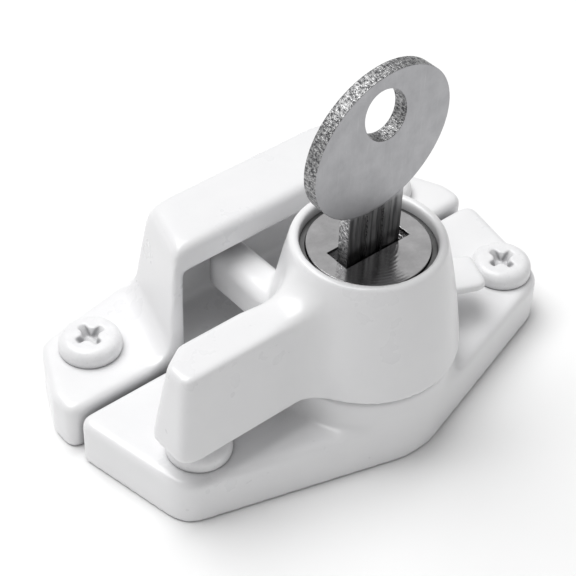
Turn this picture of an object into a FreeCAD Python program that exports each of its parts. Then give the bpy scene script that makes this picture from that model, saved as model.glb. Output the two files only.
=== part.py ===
"""Keyed window sash lock: a lock body with a key-operated lever and a separate keeper.

Frame: +Z up, XY is the seat plane both castings are screwed to.  X runs along the gap
between the two castings, the lock body lies on the -Y side of it and the keeper on the
+Y side.  The origin is on the lock body's rear edge, straight behind the lever axis.
All lengths are millimetres and every driving size is in the sheet below.
"""
import FreeCAD
import Part
import Sketcher
import math
import os

doc = FreeCAD.newDocument("SashLock")

# ---------------------------------------------------------------- driving dimensions
SIZES = [
    # lock body casting
    ("base_half_length", 34.9),
    ("base_front_half_length", 31.3),
    ("base_side_depth", 17.8),
    ("base_apex_depth", 27.2),
    ("base_thickness", 7.05),
    ("base_gap_corner_round", 1.6),
    ("base_front_corner_round", 4.5),
    ("base_apex_round", 12.2),
    ("base_edge_round", 1.1),
    ("boss_radius", 12.1),
    ("boss_top", 11.4),
    ("boss_foot_radius", 13.2),
    ("boss_foot_height", 1.1),
    ("axis_setback", 14.54),
    ("drum_bore_radius", 9.0),
    ("drum_bore_floor", 4.6),
    ("under_recess_radius", 8.0),
    ("under_recess_depth", 2.6),
    ("bushing_hole_radius", 4.4),
    ("notch_width", 5.6),
    ("notch_reach", 11.2),
    ("notch_floor", 5.8),
    ("boss_edge_break", 0.5),
    # keeper casting
    ("keeper_gap", 1.1),
    ("keeper_half_length", 34.9),
    ("keeper_end_depth", 5.2),
    ("keeper_corner_half", 30.6),
    ("keeper_corner_depth", 14.4),
    ("keeper_back_half", 7.0),
    ("keeper_back_depth", 18.6),
    ("hood_foot_half", 18.7),
    ("hood_foot_back", 15.8),
    ("hood_top_half", 17.9),
    ("hood_end_lean", 0.3),
    ("hood_top_back", 10.8),
    ("hood_top", 24.7),
    ("hood_edge_round", 1.3),
    ("keeper_corner_round", 3.0),
    ("hood_foot_round", 3.0),
    ("pocket_half_width", 16.6),
    ("pocket_floor", 7.05),
    ("pocket_top", 20.6),
    ("pocket_back", 9.0),
    ("pocket_back_half", 13.9),
    # lever casting
    ("lever_floor", 11.9),
    ("hub_foot_radius", 12.65),
    ("hub_side_curve", 110),
    ("hub_rim_radius", 9.75),
    ("hub_rim_height", 28.55),
    ("rim_bore_radius", 8.58),
    ("rim_bore_floor", 25.5),
    ("sleeve_bore_floor", 10.0),
    ("cam_bore_radius", 7.2),
    ("cam_bore_floor", 6.1),
    ("drum_radius", 8.8),
    ("drum_floor", 4.9),
    ("neck_radius", 3.4),
    ("neck_end", 0.7),
    ("neck_groove_radius", 2.6),
    ("neck_groove_low", 1.15),
    ("neck_groove_high", 1.8),
    ("arm_top", 24.4),
    ("arm_reach_foot", 32.2),
    ("arm_reach_top", 30.4),
    ("arm_half_foot", 4.2),
    ("arm_half_top", 2.9),
    ("arm_tip_cut_length", 3.4),
    ("arm_tip_cut_width", 2.1),
    ("arm_root_round", 5.0),
    ("arm_corner_round", 1.2),
    ("arm_edge_round", 0.7),
    ("prong_near_side", 4.3),
    ("prong_far_side", 9.8),
    ("prong_reach", 20.9),
    ("prong_low", 12.4),
    ("prong_high", 18.2),
    ("prong_edge_round", 1.9),
    ("lug_angle", -23),
    ("lug_reach", 19.0),
    ("lug_near_side", 3.4),
    ("lug_far_side", 9.7),
    ("lug_root_side", 11.5),
    ("lug_thickness", 1.3),
    ("lug_corner_round", 1.2),
    ("rim_edge_round", 0.3),
    ("running_gap", 0.1),
    ("neck_clearance", 0.06),
    ("channel_width", 5.1),
    # lock cylinder
    ("sleeve_radius", 7.9),
    ("sleeve_top", 25.2),
    ("sleeve_collar_top", 27.0),
    ("collar_gap", 0.03),
    ("sleeve_pin_radius", 0.8),
    ("sleeve_pin_length", 8.0),
    ("plug_radius", 6.0),
    ("plug_clearance", 0.05),
    ("plug_head_radius", 7.75),
    ("plug_head_top", 27.4),
    ("plug_head_thickness", 1.9),
    ("plug_floor", 10.0),
    ("plug_tail_side", 3.2),
    ("plug_tail_end", 8.05),
    ("plug_washer_thickness", 0.3),
    ("keyway_length", 9.2),
    ("keyway_width", 2.3),
    ("face_slot_length", 10.4),
    ("face_slot_width", 3.7),
    ("face_slot_depth", 1.2),
    ("wafer_count", 5),
    ("wafer_thickness", 1.0),
    ("wafer_pitch", 2.6),
    ("wafer_first", 12.6),
    ("wafer_width", 5.4),
    ("wafer_length", 11.2),
    ("wafer_window_length", 9.0),
    ("wafer_window_width", 2.4),
    ("wafer_slot_gap", 0.1),
    ("sleeve_channel_depth", 0.9),
    ("wafer_tab_length", 1.6),
    ("wafer_tab_width", 1.6),
    ("spring_length", 2.9),
    ("spring_coil_radius", 0.45),
    ("spring_wire_radius", 0.1),
    ("spring_turns", 4),
    # cam disc, bolt and tail screw
    ("cam_radius", 7.0),
    ("cam_low", 8.05),
    ("cam_high", 9.9),
    ("cam_slot_start", 3.75),
    ("bolt_travel", 2.2),
    ("bolt_turn", 90),
    ("bolt_pin_radius", 0.8),
    ("bolt_pin_clearance", 0.08),
    ("bolt_inner", 2.7),
    ("bolt_outer", 8.6),
    ("bolt_width", 5.0),
    ("bolt_low", 6.15),
    ("bolt_high", 7.95),
    ("tail_screw_head_radius", 2.2),
    ("tail_screw_head_height", 1.0),
    ("tail_screw_shank_radius", 1.2),
    ("tail_screw_reach", 2.2),
    # pivot hardware
    ("bushing_flange_radius", 6.0),
    ("bushing_flange_thickness", 0.25),
    ("spring_washer_radius", 6.5),
    ("spring_washer_thickness", 0.25),
    ("ring_radius", 4.9),
    ("ring_thickness", 0.6),
    # key
    ("key_bow_thickness", 2.0),
    ("key_blade_thickness", 1.7),
    ("key_bow_half_width", 10.65),
    ("key_bow_half_height", 9.4),
    ("key_bow_middle", 43.5),
    ("key_bow_tilt", 28),
    ("key_hole_half_long", 3.9),
    ("key_hole_half_short", 3.1),
    ("key_hole_height", 47.5),
    ("key_blade_half", 4.3),
    ("key_groove_end", 33.0),
    ("key_tip", 10.9),
    # screws
    ("screw_head_radius", 4.2),
    ("screw_head_height", 2.4),
    ("screw_head_round", 1.4),
    ("screw_neck_radius", 2.3),
    ("screw_neck_end", 0.3),
    ("screw_shank_radius", 2.05),
    ("screw_hole_radius", 2.5),
    ("screw_reach", 14.0),
    ("screw_plain_length", 4.5),
    ("screw_thread_depth", 0.45),
    ("screw_thread_pitch", 1.6),
    ("screw_point", 2.2),
    ("recess_half_top", 2.2),
    ("recess_half_floor", 1.1),
    ("recess_width", 1.05),
    ("recess_depth", 1.5),
    ("recess_heart_top", 1.25),
    ("base_screw_x", 26.5),
    ("base_screw_shift", 0.8),
    ("base_screw_y", 13.6),
    ("keeper_screw_x", 26.0),
    ("keeper_screw_y", 9.3),
]

sheet = doc.addObject("Spreadsheet::Sheet", "Dims")
for row, (alias, value) in enumerate(SIZES, start=1):
    sheet.set("A%d" % row, alias)
    sheet.set("B%d" % row, str(value))
    sheet.setAlias("B%d" % row, alias)
doc.recompute()


def size(alias):
    """Current value of one driving dimension, for shapes that are built in code."""
    return float(getattr(sheet, alias))


def formula(text):
    """Turn a formula written with bare aliases into one that reads the sheet."""
    out = ""
    word = ""
    for letter in text + " ":
        if letter.isalnum() or letter == "_":
            word += letter
            continue
        if word in ALIASES:
            word = "Dims." + word
        out += word + letter
        word = ""
    return out.strip()


ALIASES = {alias for alias, value in SIZES}


def number(text):
    """Evaluate a formula of aliases, + - * / and brackets to start a sketch point from."""
    return float(sheet.evalExpression(formula(text)))


# x of the left and right fixing screws of each casting
BASE_SCREWS = ("base_screw_shift - base_screw_x", "base_screw_shift + base_screw_x")
KEEPER_SCREWS = ("0 - keeper_screw_x", "keeper_screw_x")

# how deep each wafer's notch is cut into the key's edge
KEY_CUT_DEPTHS = (0.45, 0.9, 0.6, 1.05, 0.5)


# ---------------------------------------------------------------- modelling helpers
def plane_of(body, role):
    """One of the origin planes or axes of a body, found by its role."""
    for item in body.Origin.OriginFeatures:
        if item.Role == role:
            return item
    raise ValueError("no origin item " + role)


def new_body(name, x="0", y="0", z="0"):
    """Empty PartDesign body whose own origin is placed at x, y, z."""
    body = doc.addObject("PartDesign::Body", name)
    body.Label = name
    body.setExpression("Placement.Base.x", formula(x))
    body.setExpression("Placement.Base.y", formula(y))
    body.setExpression("Placement.Base.z", formula(z))
    return body


def new_sketch(body, name, role, offset="0"):
    """Sketch on an origin plane of the body, shifted along the plane's normal."""
    sketch = body.newObject("Sketcher::SketchObject", name)
    sketch.AttachmentSupport = [(plane_of(body, role), "")]
    sketch.MapMode = "FlatFace"
    sketch.setExpression("AttachmentOffset.Base.z", formula(offset))
    doc.recompute()
    return sketch


def fix_point(sketch, geometry, position, x, y):
    """Tie one point of a sketch to two formulas measured from the sketch origin."""
    for kind, text in (("DistanceX", x), ("DistanceY", y)):
        rule = Sketcher.Constraint(kind, -1, 1, geometry, position, number(text))
        index = sketch.addConstraint(rule)
        sketch.setExpression("Constraints[%d]" % index, formula(text))


def closed_outline(sketch, corners, arcs=None):
    """Closed outline through corners; arcs maps a side's index to (radius, centre sign).

    A side with centre sign +1 bends round a centre on its left, -1 on its right.
    """
    arcs = arcs or {}
    points = [FreeCAD.Vector(number(x), number(y), 0) for x, y in corners]
    ends = []
    for index, start in enumerate(points):
        stop = points[(index + 1) % len(points)]
        if index not in arcs:
            geometry = sketch.addGeometry(Part.LineSegment(start, stop), False)
            ends.append((geometry, 1, 2))
            continue
        radius_text, sign = arcs[index]
        radius = number(radius_text)
        chord = stop - start
        rise = math.sqrt(max(radius * radius - chord.Length * chord.Length / 4, 0))
        left = FreeCAD.Vector(-chord.y, chord.x, 0).normalize()
        centre = (start + stop) * 0.5 + left * rise * sign
        circle = Part.Circle(centre, FreeCAD.Vector(0, 0, 1), radius)
        angle_start = math.atan2(start.y - centre.y, start.x - centre.x)
        angle_stop = math.atan2(stop.y - centre.y, stop.x - centre.x)
        if sign > 0:
            arc = Part.ArcOfCircle(circle, angle_start, angle_stop)
            order = (1, 2)
        else:
            arc = Part.ArcOfCircle(circle, angle_stop, angle_start)
            order = (2, 1)
        geometry = sketch.addGeometry(arc, False)
        ends.append((geometry,) + order)
        rule = sketch.addConstraint(Sketcher.Constraint("Radius", geometry, radius))
        sketch.setExpression("Constraints[%d]" % rule, formula(radius_text))
    for index, (geometry, first, last) in enumerate(ends):
        following, following_first, following_last = ends[(index + 1) % len(ends)]
        sketch.addConstraint(
            Sketcher.Constraint("Coincident", geometry, last, following, following_first))
    for (geometry, first, last), (x, y) in zip(ends, corners):
        fix_point(sketch, geometry, first, x, y)
    doc.recompute()


def rectangle(half_x, half_y, x="0", y="0"):
    """Corner formulas of a rectangle centred on x, y."""
    return [
        ("(%s) - (%s)" % (x, half_x), "(%s) - (%s)" % (y, half_y)),
        ("(%s) + (%s)" % (x, half_x), "(%s) - (%s)" % (y, half_y)),
        ("(%s) + (%s)" % (x, half_x), "(%s) + (%s)" % (y, half_y)),
        ("(%s) - (%s)" % (x, half_x), "(%s) + (%s)" % (y, half_y)),
    ]


def circle_in(sketch, radius, x="0", y="0"):
    """Circle tied to its centre and radius formulas."""
    centre = FreeCAD.Vector(number(x), number(y), 0)
    round_line = Part.Circle(centre, FreeCAD.Vector(0, 0, 1), number(radius))
    geometry = sketch.addGeometry(round_line, False)
    rule = sketch.addConstraint(Sketcher.Constraint("Radius", geometry, number(radius)))
    sketch.setExpression("Constraints[%d]" % rule, formula(radius))
    fix_point(sketch, geometry, 3, x, y)
    doc.recompute()


def extrude(body, name, sketch, length, kind="PartDesign::Pad", backwards=False):
    """Pad or pocket of a sketch."""
    feature = body.newObject(kind, name)
    feature.Profile = sketch
    feature.setExpression("Length", formula(length))
    feature.Reversed = backwards
    sketch.Visibility = False
    doc.recompute()
    return feature


def spin(body, name, sketch, kind="PartDesign::Revolution"):
    """Full turn of a sketch about its own vertical axis, added or (Groove) cut."""
    feature = body.newObject(kind, name)
    feature.Profile = sketch
    feature.ReferenceAxis = (sketch, ["V_Axis"])
    feature.Angle = 360
    sketch.Visibility = False
    doc.recompute()
    return feature


def loft(body, name, lower, upper):
    """Straight-sided body between two sketches."""
    feature = body.newObject("PartDesign::AdditiveLoft", name)
    feature.Profile = lower
    feature.Sections = [upper]
    feature.Ruled = True
    doc.recompute()
    return feature


def edges_where(shape, wanted):
    """Names of the edges whose middle point and length satisfy the test."""
    names = []
    for index, edge in enumerate(shape.Edges, start=1):
        middle = edge.valueAt((edge.FirstParameter + edge.LastParameter) / 2)
        if wanted(middle, edge):
            names.append("Edge%d" % index)
    return names


def dress(body, name, amount, wanted, kind="PartDesign::Fillet"):
    """Fillet (or chamfer) the chosen edges of the body's latest shape."""
    tip = body.Tip
    names = edges_where(tip.Shape, wanted)
    feature = body.newObject(kind, name)
    feature.Base = (tip, names)
    feature.setExpression("Radius" if kind.endswith("Fillet") else "Size", formula(amount))
    doc.recompute()
    return feature


def is_vertical(edge):
    """True for a straight edge that runs along Z."""
    box = edge.BoundBox
    return box.ZLength > 0.5 and box.XLength < 0.01 and box.YLength < 0.01


def is_arc(edge, radius):
    """True for a circular edge of the given radius."""
    return hasattr(edge.Curve, "Radius") and abs(edge.Curve.Radius - radius) < 0.05


def cylinder(name, radius, low, high, x="0", y="0"):
    """Upright Part cylinder between two heights."""
    item = doc.addObject("Part::Cylinder", name)
    item.setExpression("Radius", formula(radius))
    item.setExpression("Height", formula("(%s) - (%s)" % (high, low)))
    item.setExpression("Placement.Base.x", formula(x))
    item.setExpression("Placement.Base.y", formula(y))
    item.setExpression("Placement.Base.z", formula(low))
    return item


def block(name, length, width, low, high, x="0", y="0"):
    """Part box centred on x, y between two heights."""
    item = doc.addObject("Part::Box", name)
    item.setExpression("Length", formula(length))
    item.setExpression("Width", formula(width))
    item.setExpression("Height", formula("(%s) - (%s)" % (high, low)))
    item.setExpression("Placement.Base.x", formula("(%s) - (%s) / 2" % (x, length)))
    item.setExpression("Placement.Base.y", formula("(%s) - (%s) / 2" % (y, width)))
    item.setExpression("Placement.Base.z", formula(low))
    return item


def combine(kind, name, items):
    """Part fuse (MultiFuse) or common (MultiCommon) of several objects."""
    result = doc.addObject("Part::" + kind, name)
    result.Shapes = items
    doc.recompute()
    return result


def cut(name, base, tool):
    """Part cut of one object by another."""
    result = doc.addObject("Part::Cut", name)
    result.Base = base
    result.Tool = tool
    doc.recompute()
    return result


def on_axis(item):
    """Shift a finished Part object from the sheet origin to the lever axis."""
    item.setExpression("Placement.Base.y", formula("0 - axis_setback"))
    doc.recompute()
    return item


def screw_holes(body, top, positions, y):
    """Plain clearance holes for the fixing screws, one at each x formula."""
    for index, x in enumerate(positions):
        plan = new_sketch(body, "screw_hole_plan_%d" % index, "XY_Plane", top)
        circle_in(plan, "screw_hole_radius", x, y)
        extrude(body, "screw_hole_%d" % index, plan, top, "PartDesign::Pocket")


pieces = []


def keep(item, name):
    """Register a finished object as the sub-part called name."""
    item.Label = name
    pieces.append(item)


# ---------------------------------------------------------------- lock body casting
def build_lock_base():
    """Flat plate with an upright boss round the lever axis, bored for the lever's drum."""
    body = new_body("lock_base")
    plan = new_sketch(body, "base_plan", "XY_Plane")
    closed_outline(plan, [
        ("0 - base_half_length", "0"),
        ("0 - base_front_half_length", "0 - base_side_depth"),
        ("0", "0 - base_apex_depth"),
        ("base_front_half_length", "0 - base_side_depth"),
        ("base_half_length", "0"),
    ])
    extrude(body, "base_block", plan, "boss_top")
    corner_rounds = [
        ("base_apex_curve", "base_apex_round", lambda p, e: is_vertical(e) and abs(p.x) < 1),
        ("base_front_corners", "base_front_corner_round",
         lambda p, e: is_vertical(e) and abs(p.x) > 20 and p.y < -10),
        ("base_gap_corners", "base_gap_corner_round",
         lambda p, e: is_vertical(e) and abs(p.x) > 20 and p.y > -3),
    ]
    for name, radius, wanted in corner_rounds:
        dress(body, name, radius, wanted)

    # everything above the plate and outside the boss is turned away about the lever axis
    around = new_sketch(body, "boss_outside", "XZ_Plane", "axis_setback")
    closed_outline(around, [
        ("60", "base_thickness"),
        ("60", "boss_top + 2"),
        ("boss_radius", "boss_top + 2"),
        ("boss_radius", "base_thickness + boss_foot_height"),
        ("boss_foot_radius", "base_thickness"),
    ], {3: ("boss_foot_height", 1)})
    spin(body, "boss_turning", around, "PartDesign::Groove")

    dress(body, "base_top_edges", "base_edge_round", lambda p, e:
          abs(p.z - size("base_thickness")) < 0.05
          and not is_arc(e, size("boss_foot_radius")))

    # stepped bore for the lever's drum and neck, with two notches for the locking bolt
    bore = new_sketch(body, "drum_bore_plan", "XY_Plane", "boss_top")
    circle_in(bore, "drum_bore_radius", "0", "0 - axis_setback")
    extrude(body, "drum_bore", bore, "boss_top - drum_bore_floor", "PartDesign::Pocket")
    notch = new_sketch(body, "notch_plan", "XY_Plane", "boss_top")
    closed_outline(notch, rectangle("notch_reach", "notch_width / 2", "0", "0 - axis_setback"))
    extrude(body, "bolt_notches", notch, "boss_top - notch_floor", "PartDesign::Pocket")
    hole = new_sketch(body, "bushing_hole_plan", "XY_Plane", "boss_top")
    circle_in(hole, "bushing_hole_radius", "0", "0 - axis_setback")
    extrude(body, "bushing_hole", hole, "boss_top", "PartDesign::Pocket")
    recess = new_sketch(body, "under_recess_plan", "XY_Plane", "under_recess_depth")
    circle_in(recess, "under_recess_radius", "0", "0 - axis_setback")
    extrude(body, "under_recess", recess, "under_recess_depth", "PartDesign::Pocket")
    screw_holes(body, "base_thickness", BASE_SCREWS, "0 - base_screw_y")
    dress(body, "boss_top_edges", "boss_edge_break", lambda p, e:
          abs(p.z - size("boss_top")) < 0.05 and is_arc(e, size("boss_radius")))
    keep(body, "lock_base")


# ---------------------------------------------------------------- keeper casting
def build_keeper():
    """Low plate with a hood over its middle; the hood's pocket opens towards the lock."""
    body = new_body("keeper")
    plan = new_sketch(body, "keeper_plan", "XY_Plane")
    left_side = [
        ("0 - keeper_back_half", "keeper_back_depth"),
        ("0 - keeper_corner_half", "keeper_corner_depth"),
        ("0 - keeper_half_length", "keeper_end_depth"),
        ("0 - keeper_half_length", "keeper_gap"),
    ]
    right_side = [
        ("keeper_half_length", "keeper_gap"),
        ("keeper_half_length", "keeper_end_depth"),
        ("keeper_corner_half", "keeper_corner_depth"),
        ("keeper_back_half", "keeper_back_depth"),
    ]
    closed_outline(plan, left_side + right_side)
    extrude(body, "keeper_block", plan, "base_thickness")
    corner_rounds = [
        ("keeper_outer_corners", "keeper_corner_round",
         lambda p, e: is_vertical(e) and abs(p.x) > 28 and p.y > 2),
        ("keeper_gap_corners", "base_gap_corner_round",
         lambda p, e: is_vertical(e) and abs(p.x) > 28 and p.y < 2),
        ("keeper_back_corners", "keeper_corner_round",
         lambda p, e: is_vertical(e) and abs(p.x) < 28 and p.y > 15),
    ]
    for name, radius, wanted in corner_rounds:
        dress(body, name, radius, wanted)
    dress(body, "keeper_top_edges", "base_edge_round", lambda p, e:
          abs(p.z - size("base_thickness")) < 0.05)

    # the hood runs back from the gap, its swept ends drawing together towards the rear
    sections = []
    for name, depth in (("hood_front", "keeper_gap"), ("hood_rear", "hood_foot_back")):
        section = new_sketch(body, name, "XZ_Plane", "0 - (%s)" % depth)
        inward = "(%s - keeper_gap) * hood_end_lean" % depth
        foot = "hood_foot_half - %s" % inward
        crown = "hood_top_half - %s" % inward
        skirt = "%s + hood_foot_round" % foot
        closed_outline(section, [
            ("0 - (%s)" % skirt, "base_thickness / 2"),
            (skirt, "base_thickness / 2"),
            (skirt, "base_thickness"),
            (foot, "base_thickness + hood_foot_round"),
            (crown, "hood_top"),
            ("0 - (%s)" % crown, "hood_top"),
            ("0 - (%s)" % foot, "base_thickness + hood_foot_round"),
            ("0 - (%s)" % skirt, "base_thickness"),
        ], {2: ("hood_foot_round", -1), 6: ("hood_foot_round", -1)})
        sections.append(section)
    loft(body, "hood", sections[0], sections[1])
    slope = new_sketch(body, "hood_back_slope", "YZ_Plane", "0 - keeper_half_length")
    closed_outline(slope, [
        ("hood_foot_back", "base_thickness"),
        ("hood_foot_back + 10", "base_thickness"),
        ("hood_foot_back + 10", "hood_top + 5"),
        ("hood_top_back", "hood_top + 5"),
        ("hood_top_back", "hood_top"),
    ])
    extrude(body, "hood_back_cut", slope, "2 * keeper_half_length", "PartDesign::Pocket", True)
    dress(body, "hood_top_edges", "hood_edge_round", lambda p, e:
          abs(p.z - size("hood_top")) < 0.05)

    mouth = new_sketch(body, "pocket_plan", "XY_Plane", "pocket_top")
    closed_outline(mouth, [
        ("0 - pocket_half_width", "0"),
        ("pocket_half_width", "0"),
        ("pocket_half_width", "keeper_gap"),
        ("pocket_back_half", "pocket_back"),
        ("0 - pocket_back_half", "pocket_back"),
        ("0 - pocket_half_width", "keeper_gap"),
    ])
    extrude(body, "pocket", mouth, "pocket_top - pocket_floor", "PartDesign::Pocket")
    screw_holes(body, "base_thickness", KEEPER_SCREWS, "keeper_screw_y")
    keep(body, "keeper")


# ---------------------------------------------------------------- lever casting
def build_lever():
    """Conical hub with a long handle, a prong for the keeper, a short lug and a drum."""
    body = new_body("lever", "0", "0 - axis_setback")
    turned = new_sketch(body, "hub_profile", "XZ_Plane")
    closed_outline(turned, [
        ("0", "neck_end"),
        ("neck_radius", "neck_end"),
        ("neck_radius", "drum_floor"),
        ("drum_radius", "drum_floor"),
        ("drum_radius", "lever_floor"),
        ("hub_foot_radius", "lever_floor"),
        ("hub_rim_radius", "hub_rim_height"),
        ("0", "hub_rim_height"),
    ], {5: ("hub_side_curve", 1)})
    spin(body, "hub", turned)

    levels = []
    for name, height, reach, half in (
            ("arm_foot_plan", "lever_floor", "arm_reach_foot", "arm_half_foot"),
            ("arm_top_plan", "arm_top", "arm_reach_top", "arm_half_top")):
        level = new_sketch(body, name, "XY_Plane", height)
        closed_outline(level, [
            ("0", "0 - " + half),
            ("0", half),
            ("arm_tip_cut_length - " + reach, half),
            ("0 - " + reach, "%s - arm_tip_cut_width" % half),
            ("0 - " + reach, "0 - " + half),
        ])
        levels.append(level)
    loft(body, "arm", levels[0], levels[1])
    dress(body, "arm_tip_corners", "arm_corner_round", lambda p, e:
          e.BoundBox.ZLength > 8 and p.x < -25)
    dress(body, "arm_top_edges", "arm_edge_round", lambda p, e:
          abs(p.z - size("arm_top")) < 0.05 and p.x < -14)
    dress(body, "arm_root", "arm_root_round", lambda p, e:
          -13 < p.x < -9 and abs(p.y) < 5 and p.z > size("lever_floor") + 1
          and p.z < size("arm_top") + 0.1)

    prong = new_sketch(body, "prong_plan", "XY_Plane", "prong_low")
    closed_outline(prong, [
        ("0 - prong_far_side", "0"),
        ("0 - prong_near_side", "0"),
        ("0 - prong_near_side", "prong_reach"),
        ("0 - prong_far_side", "prong_reach"),
    ])
    extrude(body, "prong", prong, "prong_high - prong_low")
    dress(body, "prong_end", "(prong_far_side - prong_near_side) / 2 - 0.1", lambda p, e:
          is_vertical(e) and p.y > 15)
    dress(body, "prong_top_edges", "prong_edge_round", lambda p, e:
          abs(p.z - size("prong_high")) < 0.02 and p.y > 14)
    lug = new_sketch(body, "lug_plan", "XY_Plane", "lever_floor")
    closed_outline(lug, [
        ("0", "lug_near_side"),
        ("lug_reach", "lug_near_side"),
        ("lug_reach", "lug_far_side"),
        ("0", "lug_root_side"),
    ])
    lug.setExpression("AttachmentOffset.Rotation.Angle", formula("lug_angle"))
    extrude(body, "lug", lug, "lug_thickness")
    dress(body, "lug_corners", "lug_corner_round", lambda p, e:
          is_vertical(e) and p.x > 0 and math.hypot(p.x, p.y) > 18)

    bore = new_sketch(body, "bore_profile", "XZ_Plane")
    closed_outline(bore, [
        ("0", "cam_bore_floor"),
        ("cam_bore_radius", "cam_bore_floor"),
        ("cam_bore_radius", "sleeve_bore_floor"),
        ("sleeve_radius", "sleeve_bore_floor"),
        ("sleeve_radius", "rim_bore_floor"),
        ("rim_bore_radius", "rim_bore_floor"),
        ("rim_bore_radius", "hub_rim_height + 1"),
        ("0", "hub_rim_height + 1"),
    ])
    spin(body, "bore", bore, "PartDesign::Groove")
    ring = new_sketch(body, "ring_groove_profile", "XZ_Plane")
    closed_outline(ring, [
        ("neck_groove_radius", "neck_groove_low"),
        ("neck_radius + 1", "neck_groove_low"),
        ("neck_radius + 1", "neck_groove_high"),
        ("neck_groove_radius", "neck_groove_high"),
    ])
    spin(body, "ring_groove", ring, "PartDesign::Groove")
    channel = new_sketch(body, "channel_plan", "XY_Plane", "bolt_high + running_gap")
    closed_outline(channel, rectangle(
        "drum_radius / 2 + 1", "channel_width / 2", "drum_radius / 2 + 1"))
    extrude(body, "bolt_channel", channel, "bolt_high + running_gap - cam_bore_floor",
            "PartDesign::Pocket")
    pin = new_sketch(body, "pin_hole_plan", "XY_Plane", "rim_bore_floor")
    circle_in(pin, "sleeve_pin_radius", "0", "0 - sleeve_radius")
    extrude(body, "pin_hole", pin, "sleeve_pin_length + rim_bore_floor - sleeve_top",
            "PartDesign::Pocket")
    dress(body, "rim_edges", "rim_edge_round", lambda p, e:
          abs(p.z - size("hub_rim_height")) < 0.02)
    keep(body, "lever")


# ---------------------------------------------------------------- lock cylinder
def build_sleeve():
    """Tube pressed into the hub, with a collar round the plug's head at the top.

    Two channels inside take the wafers with no key in.
    """
    barrel = cylinder("sleeve_barrel", "sleeve_radius", "sleeve_bore_floor", "rim_bore_floor")
    collar = cylinder("sleeve_collar", "rim_bore_radius - collar_gap", "rim_bore_floor",
                      "sleeve_collar_top")
    tube = combine("MultiFuse", "sleeve_tube", [barrel, collar])
    bore = cylinder("sleeve_hole", "plug_radius + plug_clearance",
                    "sleeve_bore_floor - 1", "sleeve_top + 1")
    mouth = cylinder("sleeve_mouth", "plug_head_radius + 2 * plug_clearance", "sleeve_top",
                     "sleeve_collar_top + 1")
    channels = block("sleeve_channels", "2 * (plug_radius + sleeve_channel_depth)",
                     "wafer_width + 0.3", "sleeve_bore_floor - 1", "sleeve_top - 1.5")
    pin = cylinder("sleeve_pin_seat", "sleeve_pin_radius", "sleeve_top - sleeve_pin_length",
                   "sleeve_top", "0", "0 - sleeve_radius")
    tools = combine("MultiFuse", "sleeve_cuts", [bore, mouth, channels, pin])
    keep(on_axis(cut("cylinder_sleeve", tube, tools)), "cylinder_sleeve")
    dowel = cylinder("sleeve_pin", "sleeve_pin_radius", "sleeve_top - sleeve_pin_length",
                     "sleeve_top", "0", "0 - axis_setback - sleeve_radius")
    keep(dowel, "sleeve_pin")


def wafer_height(index):
    """Formula for the underside of one wafer."""
    return "wafer_first + %d * wafer_pitch" % index


def build_plug():
    """Turning core: wide polished head, keyway, one cross slot per wafer, square tail."""
    core = cylinder("plug_core", "plug_radius", "plug_floor", "plug_head_top - 0.5")
    head = cylinder("plug_head", "plug_head_radius",
                    "plug_head_top - plug_head_thickness", "plug_head_top")
    tail = block("plug_tail", "plug_tail_side", "plug_tail_side", "plug_tail_end",
                 "plug_floor + 0.5")
    tools = [
        block("plug_keyway", "keyway_length", "keyway_width", "key_tip - 0.3",
              "plug_head_top + 1"),
        block("plug_face_slot", "face_slot_length", "face_slot_width",
              "plug_head_top - face_slot_depth", "plug_head_top + 1"),
        cylinder("plug_tail_hole", "tail_screw_shank_radius", "plug_tail_end - 1",
                 "plug_tail_end + tail_screw_reach"),
    ]
    for index in range(int(size("wafer_count"))):
        low = wafer_height(index) + " - wafer_slot_gap"
        high = wafer_height(index) + " + wafer_thickness + wafer_slot_gap"
        tools.append(block("plug_slot_%d" % index, "2 * plug_radius + 1",
                           "wafer_width + 2 * wafer_slot_gap", low, high))
        tools.append(block("plug_spring_slot_%d" % index, "wafer_tab_length + spring_length",
                           "wafer_tab_width + wafer_slot_gap", low, high,
                           "spring_length / 2",
                           "(wafer_width + wafer_tab_width + wafer_slot_gap) / 2"))
    whole = combine("MultiFuse", "plug_whole", [core, head, tail])
    keep(on_axis(cut("plug", whole, combine("MultiFuse", "plug_cuts", tools))), "plug")
    outer = cylinder("plug_washer_disc", "plug_head_radius - 0.1", "sleeve_top",
                     "sleeve_top + plug_washer_thickness")
    inner = cylinder("plug_washer_hole", "plug_radius + 0.1", "sleeve_top - 1",
                     "sleeve_top + 1")
    keep(on_axis(cut("plug_washer", outer, inner)), "plug_washer")


def build_wafers():
    """Flat tumblers with a window for the key and a side tab for the spring."""
    wafers = []
    limit = cylinder("wafer_limit", "plug_radius - 0.1", "plug_floor", "sleeve_top")
    for index in range(int(size("wafer_count"))):
        low = wafer_height(index)
        high = low + " + wafer_thickness"
        plate = block("wafer_plate_%d" % index, "wafer_length", "wafer_width", low, high)
        tab = block("wafer_tab_%d" % index, "wafer_tab_length", "wafer_tab_width + 0.2",
                    low, high, "0", "(wafer_width + wafer_tab_width - 0.2) / 2")
        window = block("wafer_window_%d" % index, "wafer_window_length",
                       "wafer_window_width", low + " - 1", high + " + 1")
        blank = combine("MultiFuse", "wafer_blank_%d" % index, [plate, tab])
        wafers.append(cut("wafer_%d" % index, blank, window))
    stack = doc.addObject("Part::Compound", "wafer_stack")
    stack.Links = wafers
    doc.recompute()
    keep(on_axis(combine("MultiCommon", "wafers", [stack, limit])), "wafers")


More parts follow.
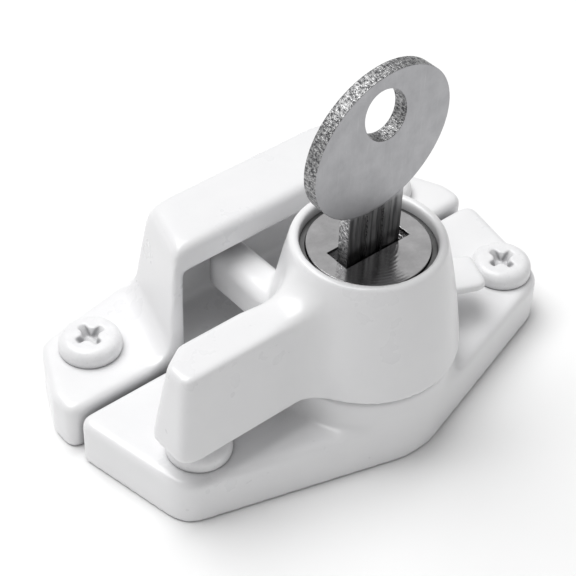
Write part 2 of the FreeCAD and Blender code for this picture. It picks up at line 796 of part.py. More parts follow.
def build_wafer_springs():
    """One small coil spring beside each wafer, lying along X against the wafer's tab."""
    coil = size("spring_coil_radius")
    wire = size("spring_wire_radius")
    length = size("spring_length") - 2 * wire - 0.1
    start_x = size("wafer_tab_length") / 2 + wire + 0.05
    middle_y = (size("wafer_width") + size("wafer_tab_width")) / 2
    springs = []
    for index in range(int(size("wafer_count"))):
        middle_z = (size("wafer_first") + index * size("wafer_pitch")
                    + size("wafer_thickness") / 2)
        helix = Part.makeHelix(length / size("spring_turns"), length, coil)
        section = Part.Wire(Part.makeCircle(
            wire, FreeCAD.Vector(coil, 0, 0), FreeCAD.Vector(0, 1, 0)))
        spring = Part.Wire(helix).makePipeShell([section], True, True)
        spring.rotate(FreeCAD.Vector(0, 0, 0), FreeCAD.Vector(0, 1, 0), 90)
        spring.translate(FreeCAD.Vector(start_x, middle_y, middle_z))
        springs.append(spring)
    feature = doc.addObject("Part::Feature", "wafer_springs")
    feature.Shape = Part.makeCompound(springs)
    keep(on_axis(feature), "wafer_springs")


# ---------------------------------------------------------------- bolt work
def cam_slot_shape():
    """Spiral slot: the pin moves bolt_travel outwards over bolt_turn of the plug."""
    start = size("cam_slot_start")
    half = size("bolt_pin_radius") + size("bolt_pin_clearance")
    turn = math.radians(size("bolt_turn"))
    rate = size("bolt_travel") / turn
    steps = 24
    inner = []
    outer = []
    for step in range(steps + 1):
        angle = turn * step / steps
        radius = start + rate * angle
        point = FreeCAD.Vector(radius * math.cos(angle), -radius * math.sin(angle), 0)
        along = FreeCAD.Vector(rate * math.cos(angle) - radius * math.sin(angle),
                               -rate * math.sin(angle) - radius * math.cos(angle), 0)
        along.normalize()
        across = FreeCAD.Vector(-along.y, along.x, 0) * half
        inner.append(point - across)
        outer.append(point + across)
    low = size("cam_low") - 1
    depth = size("cam_high") + 1 - low
    edges = [Part.BSplineCurve(), Part.BSplineCurve()]
    edges[0].interpolate(inner)
    edges[1].interpolate(outer)
    ends = [Part.makeLine(inner[0], outer[0]), Part.makeLine(inner[-1], outer[-1])]
    wire = Part.Wire(Part.__sortEdges__(
        [edges[0].toShape(), ends[1], edges[1].toShape(), ends[0]]))
    slot = Part.Face(wire).extrude(FreeCAD.Vector(0, 0, depth))
    for first, second in ((inner[0], outer[0]), (inner[-1], outer[-1])):
        slot = slot.fuse(Part.makeCylinder(half, depth, (first + second) * 0.5))
    slot.translate(FreeCAD.Vector(0, 0, low))
    return slot


def build_bolt_work():
    """Cam disc on the plug's tail, its screw, and the sliding bolt with its pin."""
    disc = cylinder("cam_disc_blank", "cam_radius", "cam_low", "cam_high")
    square = block("cam_square", "plug_tail_side + 0.06", "plug_tail_side + 0.06",
                   "cam_low - 1", "cam_high + 1")
    slot = doc.addObject("Part::Feature", "cam_slot")
    slot.Shape = cam_slot_shape()
    tools = combine("MultiFuse", "cam_cuts", [square, slot])
    keep(on_axis(cut("cam_disc", disc, tools)), "cam_disc")

    shank = cylinder("tail_shank", "tail_screw_shank_radius", "plug_tail_end - 0.1",
                     "plug_tail_end + tail_screw_reach")
    head = cylinder("tail_head", "tail_screw_head_radius",
                    "plug_tail_end - tail_screw_head_height", "plug_tail_end")
    drive = block("tail_drive", "3", "0.6", "plug_tail_end - tail_screw_head_height - 1",
                  "plug_tail_end - tail_screw_head_height / 2")
    whole = combine("MultiFuse", "tail_whole", [shank, head])
    keep(on_axis(cut("tail_screw", whole, drive)), "tail_screw")

    bar = block("bolt_bar", "bolt_outer - bolt_inner + 0.3", "bolt_width", "bolt_low",
                "bolt_high", "(bolt_outer + bolt_inner + 0.3) / 2")
    limit = cylinder("bolt_limit", "drum_radius - 0.1", "bolt_low - 1", "bolt_high + 1")
    rounded = combine("MultiCommon", "bolt_rounded", [bar, limit])
    seat = cylinder("bolt_pin_seat", "bolt_pin_radius", "bolt_low + 0.6", "bolt_high + 1",
                    "cam_slot_start")
    keep(on_axis(cut("lock_bolt", rounded, seat)), "lock_bolt")
    pin = cylinder("bolt_pin", "bolt_pin_radius", "bolt_low + 0.6", "cam_high - 0.2",
                   "cam_slot_start", "0 - axis_setback")
    keep(pin, "bolt_pin")


# ---------------------------------------------------------------- pivot hardware
def ring(name, outer, inner, low, high):
    """Flat ring on the lever axis."""
    disc = cylinder(name + "_disc", outer, low, high)
    hole = cylinder(name + "_hole", inner, "(%s) - 1" % low, "(%s) + 1" % high)
    return cut(name, disc, hole)


def build_pivot_hardware():
    """Bushing, thrust washer, sprung washer and snap ring that hold the lever down."""
    keep(on_axis(ring("thrust_washer", "drum_bore_radius - 0.6", "bushing_hole_radius + 0.1",
                      "drum_bore_floor", "drum_floor")), "thrust_washer")
    tube = cylinder("bushing_tube", "bushing_hole_radius",
                    "under_recess_depth - bushing_flange_thickness", "drum_bore_floor")
    flange = cylinder("bushing_flange", "bushing_flange_radius",
                      "under_recess_depth - bushing_flange_thickness", "under_recess_depth")
    hole = cylinder("bushing_hole", "neck_radius + neck_clearance", "0", "drum_floor")
    whole = combine("MultiFuse", "bushing_whole", [tube, flange])
    keep(on_axis(cut("neck_bushing", whole, hole)), "neck_bushing")

    high = size("under_recess_depth") - size("bushing_flange_thickness")
    low = size("neck_groove_high")
    thick = size("spring_washer_thickness")
    inner = size("neck_radius") + 0.15
    outer = size("spring_washer_radius")
    profile = Part.makePolygon([FreeCAD.Vector(r, 0, z) for r, z in (
        (inner, low), (outer, high - thick), (outer, high), (inner, low + thick),
        (inner, low))])
    washer = doc.addObject("Part::Feature", "spring_washer")
    washer.Shape = Part.Face(profile).revolve(
        FreeCAD.Vector(0, 0, 0), FreeCAD.Vector(0, 0, 1), 360)
    keep(on_axis(washer), "spring_washer")

    snap = ring("snap_ring_whole", "ring_radius", "neck_groove_radius + 0.02",
                "neck_groove_low + 0.02", "neck_groove_low + 0.02 + ring_thickness")
    gap = block("snap_ring_gap", "ring_radius", "3.4", "0", "3", "ring_radius / 2 + 1.2")
    keep(on_axis(cut("snap_ring", snap, gap)), "snap_ring")


# ---------------------------------------------------------------- key
def oval(name, half_long, half_short, thickness, height, tilt):
    """Upright elliptical plate with its middle in the XZ plane and its long axis tilted."""
    curve = doc.addObject("Part::Ellipse", name + "_curve")
    curve.setExpression("MajorRadius", formula(half_long))
    curve.setExpression("MinorRadius", formula(half_short))
    plate = doc.addObject("Part::Extrusion", name)
    plate.Base = curve
    plate.DirMode = "Custom"
    plate.Dir = FreeCAD.Vector(0, 0, 1)
    plate.Solid = True
    plate.Symmetric = True
    plate.setExpression("LengthFwd", formula(thickness))
    tilted = FreeCAD.Rotation(FreeCAD.Vector(0, 1, 0), -number(tilt))
    upright = FreeCAD.Rotation(FreeCAD.Vector(1, 0, 0), 90)
    plate.Placement = FreeCAD.Placement(
        FreeCAD.Vector(0, 0, number(height)), tilted.multiply(upright))
    doc.recompute()
    return plate


def build_key():
    """Oval bow with a ring hole and a notched, grooved flat blade."""
    bow = oval("key_bow", "key_bow_half_width", "key_bow_half_height", "key_bow_thickness",
               "key_bow_middle", "key_bow_tilt")
    # the bow's back is level with the blade's, so its front stands proud
    bow.setExpression("Placement.Base.y",
                      formula("(key_blade_thickness - key_bow_thickness) / 2"))
    hole = oval("key_ring_hole", "key_hole_half_long", "key_hole_half_short",
                "key_bow_thickness * 3", "key_hole_height", "key_bow_tilt + 90")
    blade = block("key_blade", "2 * key_blade_half", "key_blade_thickness", "key_tip",
                  "key_bow_middle - key_bow_half_height / 2")
    tools = [hole]
    for index, depth in enumerate(KEY_CUT_DEPTHS):
        side = -1 if index % 2 else 1
        middle = size("wafer_first") + index * size("wafer_pitch") + 0.5
        edge = side * size("key_blade_half")
        notch = Part.makePolygon([FreeCAD.Vector(x, 0, z) for x, z in (
            (edge + side, middle - 1.6), (edge - side * depth, middle - 0.55),
            (edge - side * depth, middle + 0.55), (edge + side, middle + 1.6),
            (edge + side, middle - 1.6))])
        cutter = doc.addObject("Part::Feature", "key_notch_%d" % index)
        cutter.Shape = Part.Face(notch).extrude(FreeCAD.Vector(0, 10, 0))
        cutter.Placement.Base.y = -5
        tools.append(cutter)
    for face in (-1, 1):
        for line, x in enumerate(("0.9", "-1.7")):
            tools.append(block(
                "key_groove_%d_%d" % (face + 1, line), "0.9", "0.8", "key_tip - 1",
                "key_groove_end", x, "%d * (key_blade_thickness / 2 + 0.1)" % face))
    corners = []
    for side in (-1, 1):
        edge = side * size("key_blade_half")
        tip = size("key_tip")
        corner = Part.makePolygon([FreeCAD.Vector(x, 0, z) for x, z in (
            (edge - side * 1.6, tip - 0.1), (edge + side, tip - 0.1), (edge + side, tip + 2.6),
            (edge - side * 1.6, tip - 0.1))])
        cutter = doc.addObject("Part::Feature", "key_tip_%d" % (side + 1))
        cutter.Shape = Part.Face(corner).extrude(FreeCAD.Vector(0, 10, 0))
        cutter.Placement.Base.y = -5
        corners.append(cutter)
    whole = combine("MultiFuse", "key_whole", [bow, blade])
    cuts = combine("MultiFuse", "key_cuts", tools + corners)
    keep(on_axis(cut("key", whole, cuts)), "key")


# ---------------------------------------------------------------- fixing screws
def cross_recess(top):
    """Tapered cross-recess tool: two crossing wings and a round heart."""
    half_top = size("recess_half_top")
    half_floor = size("recess_half_floor")
    width = size("recess_width")
    floor = top - size("recess_depth")
    wing = Part.makePolygon([FreeCAD.Vector(x, -width / 2, z) for x, z in (
        (-half_top, top), (half_top, top), (half_floor, floor), (-half_floor, floor),
        (-half_top, top))])
    first = Part.Face(wing).extrude(FreeCAD.Vector(0, width, 0))
    second = first.copy()
    second.rotate(FreeCAD.Vector(0, 0, 0), FreeCAD.Vector(0, 0, 1), 90)
    heart = Part.makeCone(width / 2, size("recess_heart_top"), top - floor,
                          FreeCAD.Vector(0, 0, floor))
    return first.fuse([second, heart])


def screw_shape():
    """Pan-head cross-recess screw, head seated on z = 0, shank pointing down."""
    head = size("screw_head_radius")
    tall = size("screw_head_height")
    edge = size("screw_head_round")
    neck = size("screw_neck_radius")
    shank = size("screw_shank_radius")
    root = shank - size("screw_thread_depth")
    pitch = size("screw_thread_pitch")
    seat = -size("base_thickness")
    neck_end = seat - size("screw_neck_end")
    depth = seat - size("screw_plain_length")
    point = seat - size("screw_reach")
    profile = [(head, tall - edge), (head, 0), (neck, 0), (neck, neck_end),
               (shank, neck_end), (shank, depth)]
    while depth - pitch > point + size("screw_point"):
        profile += [(root, depth - pitch * 0.35), (root, depth - pitch * 0.6),
                    (shank, depth - pitch)]
        depth -= pitch
    profile += [(root, depth - pitch * 0.35), (0, point), (0, tall), (head - edge, tall)]
    sides = Part.makePolygon([FreeCAD.Vector(r, 0, z) for r, z in profile])
    inset = edge * (1 - math.sqrt(0.5))
    shoulder = Part.Arc(FreeCAD.Vector(head - edge, 0, tall),
                        FreeCAD.Vector(head - inset, 0, tall - inset),
                        FreeCAD.Vector(head, 0, tall - edge))
    face = Part.Face(Part.Wire(sides.Edges + [shoulder.toShape()]))
    body = face.revolve(FreeCAD.Vector(0, 0, 0), FreeCAD.Vector(0, 0, 1), 360)
    return body.cut(cross_recess(tall + 0.05))


def build_screws(name, positions, y):
    """One screw at each x formula, as one object."""
    screws = []
    for x in positions:
        screw = screw_shape()
        screw.translate(FreeCAD.Vector(number(x), number(y), size("base_thickness")))
        screws.append(screw)
    feature = doc.addObject("Part::Feature", name)
    feature.Shape = Part.makeCompound(screws)
    keep(feature, name)


build_lock_base()
build_keeper()
build_lever()
build_sleeve()
build_plug()
build_wafers()
build_wafer_springs()
build_bolt_work()
build_pivot_hardware()
build_key()
build_screws("base_screws", BASE_SCREWS, "0 - base_screw_y")
build_screws("keeper_screws", KEEPER_SCREWS, "keeper_screw_y")
doc.recompute()

# ---------------------------------------------------------------- checks and export
for item in doc.Objects:
    for state in item.State:
        if state in ("Invalid", "Error"):
            raise RuntimeError("%s did not rebuild" % item.Name)
os.makedirs("parts", exist_ok=True)
for item in pieces:
    if item.Shape.isNull() or not item.Shape.isValid() or not item.Shape.Solids:
        raise RuntimeError("%s has no valid solid" % item.Label)
    item.Shape.exportStep("parts/%s.step" % item.Label)
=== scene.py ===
"""Looks of the keyed window sash lock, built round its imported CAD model.

Metres, in the model's own frame: +Z up from the seat plane, X along the gap between the
lock body and the keeper, and the lever axis upright behind the gap.
"""

import math

import bpy
import numpy as np
from mathutils import Matrix, Vector


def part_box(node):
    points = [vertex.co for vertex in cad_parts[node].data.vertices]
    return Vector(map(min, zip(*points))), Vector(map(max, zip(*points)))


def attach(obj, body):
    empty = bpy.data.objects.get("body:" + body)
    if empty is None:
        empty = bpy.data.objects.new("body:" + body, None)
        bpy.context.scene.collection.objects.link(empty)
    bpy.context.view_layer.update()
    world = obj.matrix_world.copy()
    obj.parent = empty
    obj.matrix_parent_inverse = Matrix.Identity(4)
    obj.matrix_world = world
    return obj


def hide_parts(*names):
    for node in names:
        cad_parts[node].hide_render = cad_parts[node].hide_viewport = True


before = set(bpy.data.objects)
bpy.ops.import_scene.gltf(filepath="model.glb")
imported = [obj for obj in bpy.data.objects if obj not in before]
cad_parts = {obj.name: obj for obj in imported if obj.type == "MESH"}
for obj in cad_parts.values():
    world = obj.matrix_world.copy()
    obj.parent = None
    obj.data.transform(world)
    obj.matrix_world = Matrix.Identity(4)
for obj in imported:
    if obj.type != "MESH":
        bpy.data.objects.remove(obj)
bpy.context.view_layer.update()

MM = 0.001

# where the CAD puts the parts that the materials are laid out from
plug_low, plug_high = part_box("plug")
AXIS_X = (plug_low.x + plug_high.x) / 2
AXIS_Y = (plug_low.y + plug_high.y) / 2

# height of the screws' heads above the casting under them
SCREW_HEAD_HEIGHT = 2.4 * MM

# height of the key's bow, and where the bow ends and the blade begins
BOW_HEIGHT = 19.4 * MM
BOW_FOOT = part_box("key")[1].z - BOW_HEIGHT


# ---------------------------------------------------------------- node helpers
class Nodes:
    """Short names for building one material's node tree."""

    def __init__(self, name):
        self.material = bpy.data.materials.new(name)
        self.material.use_nodes = True
        self.tree = self.material.node_tree
        self.tree.nodes.clear()
        self.output = self.add("ShaderNodeOutputMaterial")
        self.shader = self.add("ShaderNodeBsdfPrincipled")
        self.link(self.shader.outputs["BSDF"], self.output.inputs["Surface"])
        self.coordinates = self.add("ShaderNodeTexCoord")
        self.place = self.coordinates.outputs["Object"]

    def add(self, kind, **settings):
        node = self.tree.nodes.new(kind)
        for key, value in settings.items():
            setattr(node, key, value)
        return node

    def link(self, source, target):
        self.tree.links.new(source, target)

    def feed(self, socket, value):
        """Link a socket, or set its plain value."""
        if isinstance(value, bpy.types.NodeSocket):
            self.link(value, socket)
        else:
            socket.default_value = value

    def set(self, **values):
        """Plain values on the shader's own sockets."""
        for key, value in values.items():
            self.shader.inputs[key.replace("_", " ")].default_value = value

    def math(self, operation, *values):
        node = self.add("ShaderNodeMath", operation=operation)
        for socket, value in zip(node.inputs, values):
            self.feed(socket, value)
        return node.outputs[0]

    def stretch(self, scale, offset=(0, 0, 0)):
        """Object coordinates shifted by offset, then scaled along each axis."""
        node = self.add("ShaderNodeMapping", vector_type="TEXTURE")
        node.inputs["Location"].default_value = [-o for o in offset]
        node.inputs["Scale"].default_value = [1 / s for s in scale]
        self.link(self.place, node.inputs["Vector"])
        return node.outputs[0]

    def noise(self, size, detail=3.0, rough=0.5, vector=None):
        """Noise whose features are about size metres across."""
        node = self.add("ShaderNodeTexNoise")
        node.inputs["Scale"].default_value = 1 / size
        node.inputs["Detail"].default_value = detail
        node.inputs["Roughness"].default_value = rough
        self.link(vector or self.place, node.inputs["Vector"])
        return node.outputs["Fac"]

    def ramp(self, value, low, high, out_low=0.0, out_high=1.0):
        """Clamped linear change from out_low to out_high as value goes from low to high."""
        node = self.add("ShaderNodeMapRange")
        node.inputs["From Min"].default_value = low
        node.inputs["From Max"].default_value = high
        node.inputs["To Min"].default_value = out_low
        node.inputs["To Max"].default_value = out_high
        self.link(value, node.inputs["Value"])
        return node.outputs["Result"]

    def blend(self, factor, first, second):
        """Colour between two colours (sockets or triples)."""
        node = self.add("ShaderNodeMix", data_type="RGBA")
        self.feed(node.inputs["Factor"], factor)
        sockets = [s for s in node.inputs if s.type == "RGBA"]
        for socket, value in zip(sockets, (first, second)):
            if isinstance(value, bpy.types.NodeSocket):
                self.link(value, socket)
            else:
                socket.default_value = (*value, 1)
        return [s for s in node.outputs if s.type == "RGBA"][0]

    def axis(self, letter):
        """One object coordinate."""
        node = self.add("ShaderNodeSeparateXYZ")
        self.link(self.place, node.inputs[0])
        return node.outputs[letter]

    def facing(self, letter):
        """One component of the surface normal in the piece's own space."""
        node = self.add("ShaderNodeSeparateXYZ")
        self.link(self.coordinates.outputs["Normal"], node.inputs[0])
        return node.outputs[letter]

    def hollow(self, reach):
        """1 where the surface lies open, towards 0 in hollows narrower than reach."""
        node = self.add("ShaderNodeAmbientOcclusion", samples=16)
        node.inputs["Distance"].default_value = reach
        return node.outputs["AO"]

    def relief(self, heights, round_edges=0.0):
        """Stack of bumps, each (height socket, depth in metres), on softened edges."""
        normal = None
        if round_edges:
            soft = self.add("ShaderNodeBevel", samples=6)
            soft.inputs["Radius"].default_value = round_edges
            normal = soft.outputs["Normal"]
        for height, depth in heights:
            bump = self.add("ShaderNodeBump")
            bump.inputs["Distance"].default_value = depth
            bump.inputs["Strength"].default_value = 1.0
            self.link(height, bump.inputs["Height"])
            if normal is not None:
                self.link(normal, bump.inputs["Normal"])
            normal = bump.outputs["Normal"]
        self.link(normal, self.shader.inputs["Normal"])


# ---------------------------------------------------------------- materials
def white_coat(name):
    """Glossy white coat over a die casting: slight waviness, orange peel, and painted shade
    that greys its corners and darkens its pockets.
    """
    m = Nodes(name)
    wave = m.noise(5.0 * MM, 2.0)
    peel = m.noise(0.55 * MM, 2.0, 0.55)
    cloud = m.noise(9.0 * MM, 4.0, 0.6)
    shade = m.ramp(cloud, 0.3, 0.7)
    colour = m.blend(shade, (0.81, 0.81, 0.82), (0.84, 0.84, 0.845))
    # painted shade: the coat is greyed where nearby surfaces close in around it
    painted_corner_shade = m.ramp(m.hollow(2.5 * MM), 0.15, 0.62, 0.40, 0.0)
    colour = m.blend(painted_corner_shade, colour, (0.56, 0.56, 0.58))
    # painted shade: the coat turns dark grey in wide hollows such as the keeper's pocket,
    # where shade falls
    painted_pocket_shade = m.ramp(m.hollow(14 * MM), 0.02, 0.33, 0.85, 0.0)
    colour = m.blend(painted_pocket_shade, colour, (0.22, 0.22, 0.23))
    m.feed(m.shader.inputs["Base Color"], colour)
    m.feed(m.shader.inputs["Roughness"], m.ramp(cloud, 0.3, 0.7, 0.26, 0.34))
    m.set(Specular_IOR_Level=0.5, Coat_Weight=0.25, Coat_Roughness=0.12)
    m.relief([(wave, 0.05 * MM), (peel, 0.0003 * MM)])
    return m.material


def polished_nickel(name, tint, gloss=(0.10, 0.22)):
    """Turned and polished plate: faint rings about the lever axis, and small scuffs."""
    m = Nodes(name)
    centred = m.stretch((1, 1, 1), (-AXIS_X, -AXIS_Y, 0))
    rings = m.add("ShaderNodeTexWave", wave_type="RINGS", rings_direction="Z")
    rings.inputs["Scale"].default_value = 1 / (1.6 * MM)
    rings.inputs["Distortion"].default_value = 1.2
    rings.inputs["Detail"].default_value = 3.0
    m.link(centred, rings.inputs["Vector"])
    scuff = m.noise(0.35 * MM, 6.0, 0.7)
    stain = m.noise(3.0 * MM, 4.0, 0.6)
    dark = tuple(0.78 * c for c in tint)
    m.feed(m.shader.inputs["Base Color"], m.blend(m.ramp(stain, 0.35, 0.65), dark, tint))
    m.feed(m.shader.inputs["Roughness"], m.ramp(scuff, 0.35, 0.7, *gloss))
    m.set(Metallic=1.0)
    m.relief([(rings.outputs["Fac"], 0.004 * MM), (scuff, 0.002 * MM)], 0.12 * MM)
    return m.material


def stamped_key(name):
    """Worn nickel plate: brushed faces with fine scratches, and a torn, sheared rim.

    The blade, from the bow's foot down, is darker with painted shade, and streaked along its
    length.
    """
    m = Nodes(name)
    rim = m.ramp(m.math("ABSOLUTE", m.facing("Y")), 0.45, 0.75, 1.0, 0.0)
    brushed = m.noise(0.6 * MM, 4.0, 0.6, m.stretch((1, 1, 0.3)))
    scratch = m.noise(0.25 * MM, 4.0, 0.7, m.stretch((1, 1, 0.06), (0.003, 0, 0)))
    stain = m.noise(2.6 * MM, 4.0, 0.6)
    torn = m.noise(0.28 * MM, 4.0, 0.7, m.stretch((1, 0.6, 1)))
    lines = m.ramp(scratch, 0.58, 0.72, 0.0, 0.18)
    face = m.blend(m.ramp(stain, 0.35, 0.65), (0.37, 0.37, 0.382), (0.42, 0.42, 0.432))
    face = m.blend(lines, face, (0.66, 0.66, 0.66))
    streaks = m.noise(0.5 * MM, 4.0, 0.65, m.stretch((1, 1, 0.05), (0.011, 0, 0)))
    # painted shade on the blade below the bow, with streaks along its length
    painted_blade_shade = m.blend(m.ramp(streaks, 0.40, 0.62), (0.07, 0.07, 0.072), (0.30, 0.30, 0.30))
    blade = m.ramp(m.axis("Z"), BOW_FOOT - 0.3 * MM, BOW_FOOT + 0.5 * MM, 0.85, 0.0)
    face = m.blend(blade, face, painted_blade_shade)
    edge = m.blend(m.ramp(torn, 0.40, 0.62), (0.10, 0.10, 0.105), (0.52, 0.52, 0.52))
    m.feed(m.shader.inputs["Base Color"], m.blend(rim, face, edge))
    face_rough = m.ramp(brushed, 0.3, 0.7, 0.30, 0.42)
    edge_rough = m.ramp(torn, 0.4, 0.6, 0.62, 0.22)
    rough = m.math("ADD", m.math("MULTIPLY", edge_rough, rim),
                   m.math("MULTIPLY", face_rough, m.math("SUBTRACT", 1.0, rim)))
    m.feed(m.shader.inputs["Roughness"], rough)
    m.set(Metallic=1.0)
    m.relief([(brushed, 0.006 * MM), (scratch, 0.002 * MM),
              (m.math("MULTIPLY", torn, rim), 0.14 * MM)], 0.18 * MM)
    return m.material


def cross_screw(name, node):
    """White coated screw head with painted shade darkening its cross slot, on a bare metal
    shank.
    """
    under_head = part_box(node)[1].z - SCREW_HEAD_HEIGHT
    m = Nodes(name)
    # painted shade: the inside of the cross slot is darkened where it closes in
    painted_recess_shade = m.ramp(m.hollow(1.6 * MM), 0.30, 0.80, 0.80, 0.0)
    shank = m.ramp(m.axis("Z"), under_head - 0.25 * MM, under_head - 0.05 * MM, 1.0, 0.0)
    peel = m.noise(0.5 * MM, 3.0)
    speck = m.noise(1.3 * MM, 5.0, 0.65)
    white = m.blend(m.ramp(speck, 0.3, 0.7), (0.78, 0.78, 0.79), (0.85, 0.85, 0.855))
    white = m.blend(painted_recess_shade, white, (0.16, 0.16, 0.17))
    metal = m.blend(m.ramp(speck, 0.3, 0.7), (0.42, 0.42, 0.41), (0.60, 0.60, 0.58))
    m.feed(m.shader.inputs["Base Color"], m.blend(shank, white, metal))
    m.feed(m.shader.inputs["Roughness"], m.ramp(peel, 0.3, 0.7, 0.26, 0.42))
    m.feed(m.shader.inputs["Metallic"], shank)
    m.set(Coat_Weight=0.2, Coat_Roughness=0.15)
    m.relief([(peel, 0.006 * MM)])
    return m.material


def plain_finish(name, dark, light, rough, metallic=1.0, grain=0.6):
    """Plain inner part of metal or nylon: mottled colour, fine grain, uneven gloss."""
    m = Nodes(name)
    fine = m.noise(grain * MM, 5.0, 0.65)
    stain = m.noise(4 * grain * MM, 4.0, 0.6)
    m.feed(m.shader.inputs["Base Color"], m.blend(m.ramp(stain, 0.3, 0.7), dark, light))
    m.feed(m.shader.inputs["Roughness"], m.ramp(fine, 0.3, 0.7, rough - 0.08, rough + 0.1))
    m.set(Metallic=metallic)
    m.relief([(fine, 0.012 * MM)], 0.08 * MM)
    return m.material


# ---------------------------------------------------------------- finishes on the CAD parts
coat = white_coat("white_coat")
plate = polished_nickel("nickel_plate", (0.56, 0.555, 0.56))
# painted shade: the sleeve's nickel is given a dark colour so the ring round the plug reads
# as shade
shade_dark_sleeve_plate = polished_nickel("sleeve_nickel_painted_shade", (0.20, 0.20, 0.20), (0.28, 0.45))
zinc = plain_finish("zinc_steel", (0.38, 0.38, 0.36), (0.58, 0.58, 0.55), 0.34)
spring = plain_finish("spring_steel", (0.20, 0.20, 0.21), (0.36, 0.36, 0.37), 0.32, 1.0, 0.3)
brass = plain_finish("stamped_brass", (0.52, 0.38, 0.14), (0.72, 0.56, 0.26), 0.30)
nylon = plain_finish("nylon", (0.74, 0.73, 0.68), (0.84, 0.83, 0.79), 0.50, 0.0)
FINISHES = {
    "lock_base": (coat, "white_coat"),
    "keeper": (coat, "white_coat"),
    "lever": (coat, "white_coat"),
    "base_screws": (cross_screw("base_screw_coat", "base_screws"), "screw_white"),
    "keeper_screws": (cross_screw("keeper_screw_coat", "keeper_screws"), "screw_white"),
    "plug": (plate, "nickel_plate"),
    "cylinder_sleeve": (shade_dark_sleeve_plate, "nickel_plate"),
    "key": (stamped_key("stamped_key"), "key_nickel"),
    "cam_disc": (zinc, "zinc_plated_steel"),
    "lock_bolt": (zinc, "zinc_plated_steel"),
    "bolt_pin": (zinc, "zinc_plated_steel"),
    "tail_screw": (zinc, "zinc_plated_steel"),
    "sleeve_pin": (zinc, "zinc_plated_steel"),
    "wafers": (brass, "brass"),
    "wafer_springs": (spring, "spring_steel"),
    "spring_washer": (spring, "spring_steel"),
    "snap_ring": (spring, "spring_steel"),
    "thrust_washer": (nylon, "nylon"),
    "neck_bushing": (nylon, "nylon"),
    "plug_washer": (nylon, "nylon"),
}


def finish_node(name, material):
    """Give a CAD node its material, smooth across its curved faces."""
    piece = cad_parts[name]
    piece.data.materials.clear()
    piece.data.materials.append(material)
    for face in piece.data.polygons:
        face.use_smooth = True
        face.material_index = 0


for node_name, (material, slot_name) in FINISHES.items():
    finish_node(node_name, material)


# ---------------------------------------------------------------- cast and coated pieces
def along(start, end, radius):
    """Zone that fades out from a line: weight 1 on the line, 0 at radius from it."""
    start = np.array(start) * MM
    run = np.array(end) * MM - start

    def weight(points):
        share = np.clip((points - start) @ run / (run @ run), 0, 1)
        away = np.linalg.norm(points - start - share[:, None] * run, axis=1)
        return smooth_step(1 - away / (radius * MM))
    return weight


def ring(radius, height, reach):
    """Zone that fades out from a level circle about the lever axis."""
    def weight(points):
        out = np.hypot(points[:, 0] - AXIS_X, points[:, 1] - AXIS_Y) - radius * MM
        away = np.hypot(out, points[:, 2] - height * MM)
        return smooth_step(1 - away / (reach * MM))
    return weight


def smooth_step(value):
    value = np.clip(value, 0, 1)
    return value * value * (3 - 2 * value)


def relax(points, ends, weight, passes):
    """Move each point part of the way to the mean of its neighbours, several times."""
    first, second = ends[:, 0], ends[:, 1]
    count = np.bincount(ends.ravel(), minlength=len(points))
    share = (0.5 * weight / count)[:, None]
    for _ in range(passes):
        total = np.empty_like(points)
        for axis in range(3):
            total[:, axis] = (
                np.bincount(first, points[second, axis], len(points))
                + np.bincount(second, points[first, axis], len(points)))
        points = points + share * (total - count[:, None] * points)
    return points


def softened(node, name, body, cell, passes, zones=(), machined=0.0):
    """Even skin over a CAD node with its edges rounded, more so inside the zones.

    cell is the size of the skin's faces in mm; zones are (weight function, passes).
    Outside the zones, nothing is rounded within machined mm of the lever axis.
    """
    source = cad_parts[node]
    copy = bpy.data.objects.new(name + "_source", source.data.copy())
    bpy.context.scene.collection.objects.link(copy)
    skin = copy.modifiers.new("skin", "REMESH")
    skin.mode = "VOXEL"
    skin.voxel_size = cell * MM
    bpy.context.view_layer.update()
    graph = bpy.context.evaluated_depsgraph_get()
    mesh = bpy.data.meshes.new_from_object(copy.evaluated_get(graph))
    bpy.data.objects.remove(copy)
    points = np.empty(len(mesh.vertices) * 3)
    mesh.vertices.foreach_get("co", points)
    points = points.reshape(-1, 3)
    ends = np.empty(len(mesh.edges) * 2, np.int32)
    mesh.edges.foreach_get("vertices", ends)
    ends = ends.reshape(-1, 2)
    for weight, extra in zones:
        points = relax(points, ends, weight(points), extra)
    off_axis = np.hypot(points[:, 0] - AXIS_X, points[:, 1] - AXIS_Y)
    points = relax(points, ends, (off_axis > machined * MM) * 1.0, passes)
    low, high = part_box(node)
    points = np.clip(points, np.array(low), np.array(high))
    mesh.vertices.foreach_set("co", points.ravel())
    mesh.materials.clear()
    material, slot_name = FINISHES[node]
    mesh.materials.append(material)
    mesh.polygons.foreach_set("use_smooth", [True] * len(mesh.polygons))
    mesh.update()
    mesh.name = name
    piece = bpy.data.objects.new(name, mesh)
    bpy.context.scene.collection.objects.link(piece)
    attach(piece, body)
    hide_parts(node)


# zones of extra softening, in mm from the model's origin
def boss_foot_zone():
    """Foot of the lock body's round boss, level with the top of its plate."""
    foot_radius, plate_top = 12.6, 7.05
    return [(ring(foot_radius, plate_top, 3.0), 30)]


def hood_zones():
    """Front corners of the keeper's hood, and the end edges of its roof."""
    front_y, back_y = 1.1, 10.8
    foot_z, corner_z, roof_z = 8, 24, 24.7
    foot_x, roof_x, back_x = 18.6, 17.9, 15.0
    zones = []
    for side in (-1, 1):
        corner_foot = (side * foot_x, front_y, foot_z)
        corner_top = (side * roof_x, front_y, corner_z)
        front_end = (side * roof_x, front_y, roof_z)
        back_end = (side * back_x, back_y, roof_z)
        zones.append((along(corner_foot, corner_top, 3.0), 14))
        zones.append((along(front_end, back_end, 4.0), 45))
    return zones


def handle_zones():
    """Where the handle's top leaves the hub, and the lower corner of its tip."""
    root_x, root_front, root_back, root_z = -12.5, -17.5, -11.5, 24
    tip_x, tip_front, tip_back, tip_z = -32.2, -18.7, -12.0, 11.9
    root = along((root_x, root_front, root_z), (root_x, root_back, root_z), 6.0)
    tip = along((tip_x, tip_front, tip_z), (tip_x, tip_back, tip_z), 3.2)
    return [(root, 80), (tip, 50)]


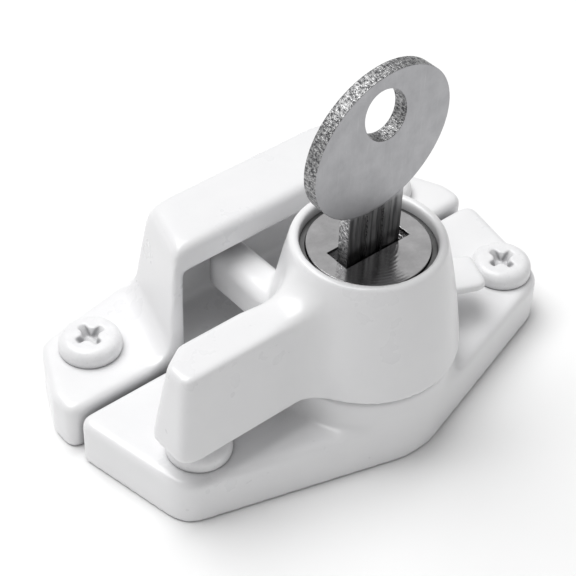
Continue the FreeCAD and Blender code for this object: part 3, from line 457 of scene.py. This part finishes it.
# sizes of the skins' faces, and the reach of the lock body's bore and of the notch that
# its bolt enters, from the lever axis, in mm
BASE_CELL = 0.30
LEVER_CELL = 0.26
SCREW_CELL = 0.13
BORE_AND_NOTCH = 11.4
softened("lock_base", "lock_base_casting", "base_body", BASE_CELL, 8,
         boss_foot_zone(), BORE_AND_NOTCH)
softened("keeper", "keeper_casting", "base_body", BASE_CELL, 9, hood_zones())
softened("lever", "lever_casting", "lever_body", LEVER_CELL, 8, handle_zones())
softened("base_screws", "base_screw_heads", "base_body", SCREW_CELL, 4)
softened("keeper_screws", "keeper_screw_heads", "base_body", SCREW_CELL, 4)


# ---------------------------------------------------------------- floor, light and camera
def floor():
    """Large plain pale floor just under the seat plane."""
    mesh = bpy.data.meshes.new("floor")
    reach = 3.0
    height = -0.02 * MM
    corners = [(-reach, -reach, height), (reach, -reach, height),
               (reach, reach, height), (-reach, reach, height)]
    mesh.from_pydata(corners, [], [(0, 1, 2, 3)])
    plane = bpy.data.objects.new("floor", mesh)
    bpy.context.scene.collection.objects.link(plane)
    m = Nodes("floor_paper")
    m.feed(m.shader.inputs["Base Color"],
           m.blend(m.noise(0.02, 2.0), (0.92, 0.92, 0.92), (0.95, 0.95, 0.95)))
    m.set(Roughness=0.9, Specular_IOR_Level=0.1)
    mesh.materials.append(m.material)


def area_light(name, place, aim, size, power):
    """Square soft box at place, turned towards aim."""
    light = bpy.data.lights.new(name, "AREA")
    light.shape = "SQUARE"
    light.size = size
    light.energy = power
    lamp = bpy.data.objects.new(name, light)
    lamp.location = place
    lamp.rotation_mode = "QUATERNION"
    lamp.rotation_quaternion = (Vector(aim) - Vector(place)).to_track_quat("-Z", "Y")
    bpy.context.scene.collection.objects.link(lamp)


def camera(place, target, roll, lens):
    """Camera at place looking at target, turned by roll about its own line of sight."""
    data = bpy.data.cameras.new("camera")
    data.sensor_width = 36.0
    data.lens = lens
    data.clip_start = 0.01
    data.clip_end = 20.0
    item = bpy.data.objects.new("camera", data)
    bpy.context.scene.collection.objects.link(item)
    back = (Vector(place) - Vector(target)).normalized()
    right = Vector((0, 0, 1)).cross(back).normalized()
    up = back.cross(right)
    turned_right = right * math.cos(roll) + up * math.sin(roll)
    turned_up = up * math.cos(roll) - right * math.sin(roll)
    turn = Matrix((turned_right, turned_up, back)).transposed()
    item.matrix_world = Matrix.Translation(place) @ turn.to_4x4()
    bpy.context.scene.camera = item


def surrounding_light(strength):
    """Even white light from all round."""
    world = bpy.data.worlds.new("studio")
    world.use_nodes = True
    background = world.node_tree.nodes["Background"]
    background.inputs["Color"].default_value = (1, 1, 1, 1)
    background.inputs["Strength"].default_value = strength
    bpy.context.scene.world = world


floor()
area_light("key_light", place=(-0.14, 0.26, 0.86), aim=(0, 0, 0), size=0.7, power=7.5)
area_light("left_light", place=(-0.70, -0.25, 0.30), aim=(0, 0, 0.01), size=0.3, power=0.10)
area_light("mirror_panel", place=(0.34, 0.39, 0.48), aim=(0, 0, 0.02), size=0.5, power=0.30)
surrounding_light(0.34)
bpy.context.scene.view_settings.view_transform = "Standard"
camera(place=(-0.10628, -0.12015, 0.15673), target=(0.003942, 0.004494, 0.003999),
       roll=math.radians(2.19), lens=100.78)
